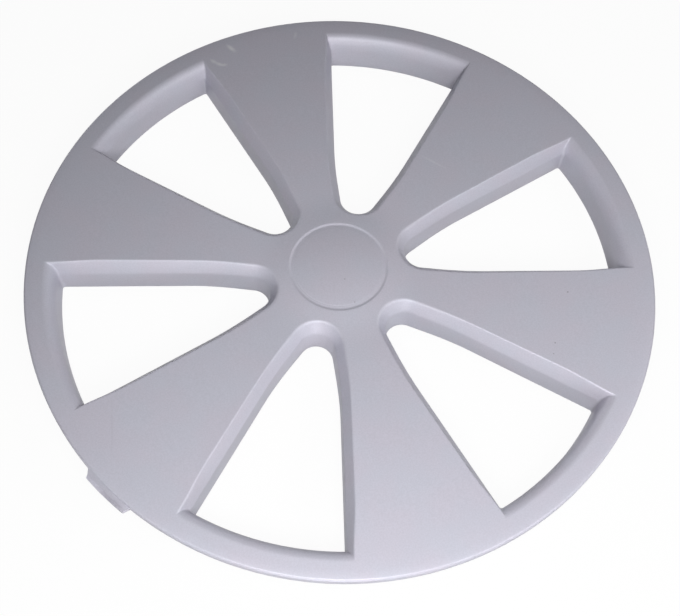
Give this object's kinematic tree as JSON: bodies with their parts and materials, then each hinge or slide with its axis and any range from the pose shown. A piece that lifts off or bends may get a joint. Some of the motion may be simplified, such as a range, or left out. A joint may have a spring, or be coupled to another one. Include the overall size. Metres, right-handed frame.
{
  "type": "hubcap",
  "caption": "Clip-on plastic wheel cover with broad flared spokes, wedge-shaped open windows with deep walls, a domed centre disc and a spring wire ring behind",
  "frame": {"origin": "on the wheel's axis, level with the tips of the clip legs, on which the cover lies", "axes": "+Z along the wheel's axis, out of the painted face; +X to the right and +Y up as the face is seen in the picture"},
  "size_m": [0.38, 0.38, 0.0326],
  "materials": {
    "silver_paint": "satin metallic silver paint on moulded ABS",
    "spring_wire": "drawn spring steel wire, zinc plated"
  },
  "bodies": {
    "root": {"cover": "silver_paint", "wire_ring": "spring_wire"}
  },
  "joints": []
}
